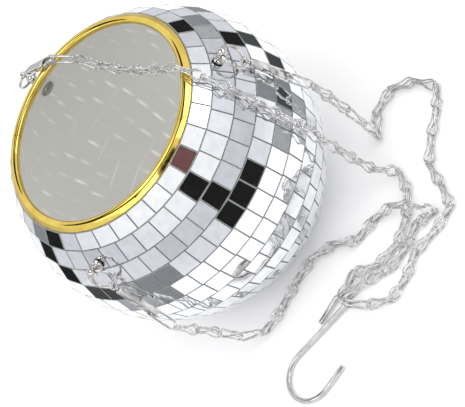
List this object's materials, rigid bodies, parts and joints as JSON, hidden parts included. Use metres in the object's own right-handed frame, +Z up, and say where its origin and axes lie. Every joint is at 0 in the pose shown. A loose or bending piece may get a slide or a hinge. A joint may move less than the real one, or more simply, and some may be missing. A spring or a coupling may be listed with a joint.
{
  "type": "hanging mirror ball bowl",
  "caption": "Hollow mirror-tiled ball with an open top, gold edge bead, ball-headed hanger studs with rings and swivel clasps, wire-link chains and an S-hook.",
  "frame": {"origin": "centre of the ball's flat base, on the surface it stands on", "axes": "+Z up through the middle of the opening; -Y towards the side that the chains lie on"},
  "size_m": [0.172, 0.1914, 0.1259],
  "materials": {
    "shell": "smooth satin, warm light grey",
    "mirror": "flat silvered glass tiles",
    "gold": "gold metallised, polished",
    "nickel": "polished",
    "clasp": "bright plated casting",
    "chain": "bright plated wire"
  },
  "bodies": {
    "ball": {"inner_bowl": "shell", "rim_bead": "gold", "mirror_row_01": "mirror", "mirror_row_02": "mirror", "mirror_row_03": "mirror", "mirror_row_04": "mirror", "mirror_row_05": "mirror", "mirror_row_06": "mirror", "mirror_row_07": "mirror", "mirror_row_08": "mirror", "mirror_row_09": "mirror", "mirror_row_10": "mirror", "mirror_row_11": "mirror", "mirror_row_12": "mirror", "ball_stud_a": "nickel", "ball_stud_b": "nickel", "ball_stud_c": "nickel", "inner_screw_a": "nickel", "inner_screw_b": "nickel", "inner_screw_c": "nickel", "chain_a": "chain", "chain_b": "chain", "chain_c": "chain"},
    "ring_a": {"hanger_ring_a": "nickel"},
    "eye_a": {"swivel_eye_a": "clasp"},
    "clasp_a": {"clasp_body_a": "clasp", "gate_pin_a": "clasp"},
    "gate_a": {"clasp_gate_a": "clasp"},
    "link_a": {"first_link_a": "chain"},
    "ring_b": {"hanger_ring_b": "nickel"},
    "eye_b": {"swivel_eye_b": "clasp"},
    "clasp_b": {"clasp_body_b": "clasp", "gate_pin_b": "clasp"},
    "gate_b": {"clasp_gate_b": "clasp"},
    "link_b": {"first_link_b": "chain"},
    "ring_c": {"hanger_ring_c": "nickel"},
    "eye_c": {"swivel_eye_c": "clasp"},
    "clasp_c": {"clasp_body_c": "clasp", "gate_pin_c": "clasp"},
    "gate_c": {"clasp_gate_c": "clasp"},
    "link_c": {"first_link_c": "chain"},
    "hook": {"s_hook": "nickel"}
  },
  "joints": [
    {"name": "ring_swing_a", "type": "hinge", "parent": "ball", "child": "ring_a", "pos_m": [0.05544, -0.03954, 0.1067], "axis": [-0.6268, -0.7729, 0.0984], "range_deg": [0, 30]},
    {"name": "clasp_tilt_a", "type": "hinge", "parent": "ring_a", "child": "eye_a", "pos_m": [0.05756, -0.04274, 0.09512], "axis": [-0.6268, -0.7729, 0.0984], "range_deg": [0, 4]},
    {"name": "clasp_swivel_a", "type": "hinge", "parent": "eye_a", "child": "clasp_a", "pos_m": [0.05843, -0.04405, 0.09038], "axis": [-0.174, 0.2619, 0.9493], "continuous": true},
    {"name": "gate_a", "type": "hinge", "parent": "clasp_a", "child": "gate_a", "pos_m": [0.05901, -0.04715, 0.08291], "axis": [0.7595, -0.5779, 0.2986], "range_deg": [0, 14], "stiffness_Nm_per_rad": 0.005, "springref_deg": -11.46},
    {"name": "link_swing_a", "type": "hinge", "parent": "clasp_a", "child": "link_a", "pos_m": [0.06197, -0.04938, 0.07106], "axis": [-0.6268, -0.7729, 0.0984], "range_deg": [-4, 12]},
    {"name": "ring_swing_b", "type": "hinge", "parent": "ball", "child": "ring_b", "pos_m": [0.00144, 0.06882, 0.10551], "axis": [-0.9998, 0.0209, 0], "range_deg": [0, 30]},
    {"name": "clasp_tilt_b", "type": "hinge", "parent": "ring_b", "child": "eye_b", "pos_m": [0.00131, 0.06253, 0.11597], "axis": [-0.8574, -0.4844, 0.1738], "range_deg": [0, 5]},
    {"name": "clasp_swivel_b", "type": "hinge", "parent": "eye_b", "child": "clasp_b", "pos_m": [0.00388, 0.05848, 0.11735], "axis": [-0.5146, 0.8114, -0.2771], "range_deg": [-15, 15]},
    {"name": "gate_b", "type": "hinge", "parent": "clasp_b", "child": "gate_b", "pos_m": [0.00688, 0.05135, 0.11979], "axis": [0.0069, 0.327, 0.945], "range_deg": [0, 14], "stiffness_Nm_per_rad": 0.005, "springref_deg": -11.46},
    {"name": "link_swing_b", "type": "hinge", "parent": "clasp_b", "child": "link_b", "pos_m": [0.01435, 0.04196, 0.12299], "axis": [-0.8574, -0.4844, 0.1738], "range_deg": [-8, 12]},
    {"name": "ring_swing_c", "type": "hinge", "parent": "ball", "child": "ring_c", "pos_m": [-0.06082, -0.03512, 0.10308], "axis": [-0.5972, 0.7641, -0.2439], "range_deg": [0, 30]},
    {"name": "clasp_tilt_c", "type": "hinge", "parent": "ring_c", "child": "eye_c", "pos_m": [-0.06159, -0.03936, 0.09167], "axis": [-0.5972, 0.7641, -0.2439], "range_deg": [0, 4]},
    {"name": "clasp_swivel_c", "type": "hinge", "parent": "eye_c", "child": "clasp_c", "pos_m": [-0.06191, -0.0411, 0.08699], "axis": [0.063, 0.3478, 0.9355], "continuous": true},
    {"name": "gate_c", "type": "hinge", "parent": "clasp_c", "child": "gate_c", "pos_m": [-0.06319, -0.04289, 0.07919], "axis": [-0.7996, -0.5433, 0.2558], "range_deg": [0, 14], "stiffness_Nm_per_rad": 0.005, "springref_deg": -11.46},
    {"name": "link_swing_c", "type": "hinge", "parent": "clasp_c", "child": "link_c", "pos_m": [-0.06319, -0.04818, 0.06796], "axis": [-0.5972, 0.7641, -0.2439], "range_deg": [-4, 12]},
    {"name": "hook_swing", "type": "hinge", "parent": "ball", "child": "hook", "pos_m": [-0.01231, -0.08498, 0.00271], "axis": [0.3206, 0.9472, 0], "range_deg": [0, 95]}
  ]
}
